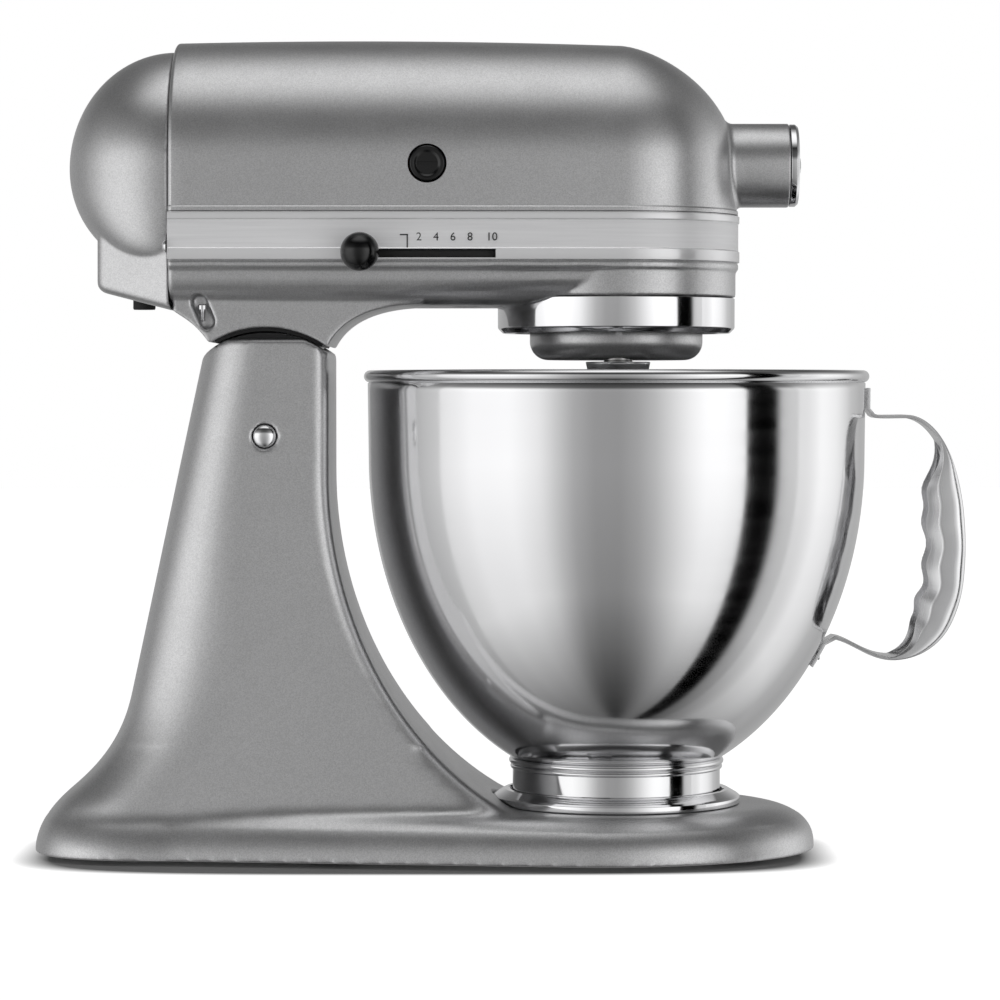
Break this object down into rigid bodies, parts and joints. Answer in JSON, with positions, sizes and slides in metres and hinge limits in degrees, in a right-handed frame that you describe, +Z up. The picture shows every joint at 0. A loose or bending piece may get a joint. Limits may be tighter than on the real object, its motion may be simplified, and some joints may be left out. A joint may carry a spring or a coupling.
{
  "type": "stand mixer",
  "caption": "Tilt-head stand mixer with a bowl on a twist-lock plate, a planetary flat beater, a front attachment hub and side speed and lock levers.",
  "frame": {"origin": "centre of the footprint of the whole mixer, on the counter under its feet", "axes": "+X towards the attachment hub and the bowl handle, +Z up, +Y to the mixer's left, -Y to the side with the speed lever"},
  "size_m": [0.402, 0.2192, 0.3519],
  "materials": {
    "grey_enamel": "metallic grey gloss paint with fine flake",
    "polished_steel": "polished stainless",
    "chrome": "bright plated",
    "satin_trim": "satin with bright edges",
    "black_plastic": "moulded gloss",
    "rubber": "moulded matt",
    "cast_aluminium": "as cast and burnished",
    "gear_steel": "machined",
    "bronze": "sintered bronze",
    "copper": "enamelled copper wire",
    "core_iron": "stacked steel laminations",
    "carbon": "pressed carbon",
    "board": "circuit board"
  },
  "bodies": {
    "stand": {"base_pedestal": "grey_enamel", "foot_1": "rubber", "foot_2": "rubber", "foot_3": "rubber", "foot_4": "rubber", "foot_5": "rubber", "bowl_clamp_plate": "chrome", "plate_screw_1": "gear_steel", "plate_screw_2": "gear_steel", "plate_screw_3": "gear_steel", "hinge_pin": "chrome"},
    "head": {"motor_housing": "grey_enamel", "lower_housing": "grey_enamel", "end_cover": "grey_enamel", "trim_band": "satin_trim", "drip_ring": "chrome", "brush_cap_left": "black_plastic", "brush_cap_right": "black_plastic", "carbon_brush_left": "carbon", "carbon_brush_right": "carbon", "trim_screw_left": "chrome", "trim_screw_right": "chrome", "neck_screw_left": "chrome", "neck_screw_right": "chrome", "lever_pivot": "gear_steel", "cord_inlet": "rubber", "hub_bush": "bronze", "ring_gear": "gear_steel", "centre_bearing": "bronze", "worm_bracket": "cast_aluminium", "stator_core": "core_iron", "field_coil": "copper", "front_bearing": "bronze", "bearing_bracket": "cast_aluminium", "control_plate": "board"},
    "planetary": {"planetary": "grey_enamel", "centre_shaft": "gear_steel", "groove_pin": "gear_steel", "centre_gear": "gear_steel"},
    "beater": {"agitator_shaft": "gear_steel", "beater_pin": "gear_steel", "planet_gear": "gear_steel", "flat_beater": "cast_aluminium"},
    "hub_drive": {"hub_gear": "gear_steel"},
    "worm": {"drive_pinion": "gear_steel", "worm_gear": "bronze"},
    "motor": {"armature_shaft": "gear_steel", "armature_core": "core_iron", "commutator": "copper", "cooling_fan": "cast_aluminium", "governor": "gear_steel"},
    "speed_control": {"speed_lever": "gear_steel", "speed_knob": "black_plastic"},
    "lock": {"lock_lever": "chrome", "lock_knob": "black_plastic"},
    "hub_cap": {"hub_cap_disc": "chrome"},
    "clamp_knob": {"attachment_knob": "black_plastic"},
    "bowl": {"bowl_shell": "polished_steel", "bowl_foot": "polished_steel", "bowl_handle": "polished_steel"}
  },
  "joints": [
    {"name": "head_tilt", "type": "hinge", "parent": "stand", "child": "head", "pos_m": [-0.1, 0, 0.1809], "axis": [0, -1, 0], "range_deg": [0, 45]},
    {"name": "bowl_twist", "type": "hinge", "parent": "stand", "child": "bowl", "pos_m": [0.0502, 0, 0.0242], "axis": [0, 0, 1], "range_deg": [0, 30]},
    {"name": "planetary_spin", "type": "hinge", "parent": "head", "child": "planetary", "pos_m": [0.0502, 0, 0.226], "axis": [0, 0, 1], "continuous": true},
    {"name": "beater_spin", "type": "hinge", "parent": "planetary", "child": "beater", "pos_m": [0.0502, -0.02625, 0.2], "axis": [0, 0, 1], "continuous": true},
    {"name": "hub_spin", "type": "hinge", "parent": "head", "child": "hub_drive", "pos_m": [0.0802, 0, 0.298], "axis": [1, 0, 0], "continuous": true},
    {"name": "worm_spin", "type": "hinge", "parent": "head", "child": "worm", "pos_m": [0.014, 0.0213, 0.28], "axis": [0, 0, 1], "continuous": true},
    {"name": "motor_spin", "type": "hinge", "parent": "head", "child": "motor", "pos_m": [-0.0698, 0, 0.298], "axis": [1, 0, 0], "continuous": true},
    {"name": "speed_lever_swing", "type": "hinge", "parent": "head", "child": "speed_control", "pos_m": [-0.0318, 0.012, 0.25805], "axis": [0, 0, 1], "range_deg": [0, 39]},
    {"name": "lock_lever_turn", "type": "hinge", "parent": "head", "child": "lock", "pos_m": [-0.0888, 0.045, 0.229], "axis": [0, -1, 0], "range_deg": [0, 40]},
    {"name": "hub_cap_pull", "type": "slide", "parent": "head", "child": "hub_cap", "axis": [1, 0, 0], "range_m": [0, 0.03]},
    {"name": "clamp_knob_turn", "type": "hinge", "parent": "head", "child": "clamp_knob", "pos_m": [0.1102, 0.025, 0.298], "axis": [0, 1, 0], "continuous": true}
  ],
  "couplings": [
    {"joint": "beater_spin", "follows": "planetary_spin", "ratio": -4},
    {"joint": "worm_spin", "follows": "planetary_spin", "ratio": -3},
    {"joint": "hub_spin", "follows": "planetary_spin", "ratio": 1},
    {"joint": "motor_spin", "follows": "planetary_spin", "ratio": -36}
  ]
}
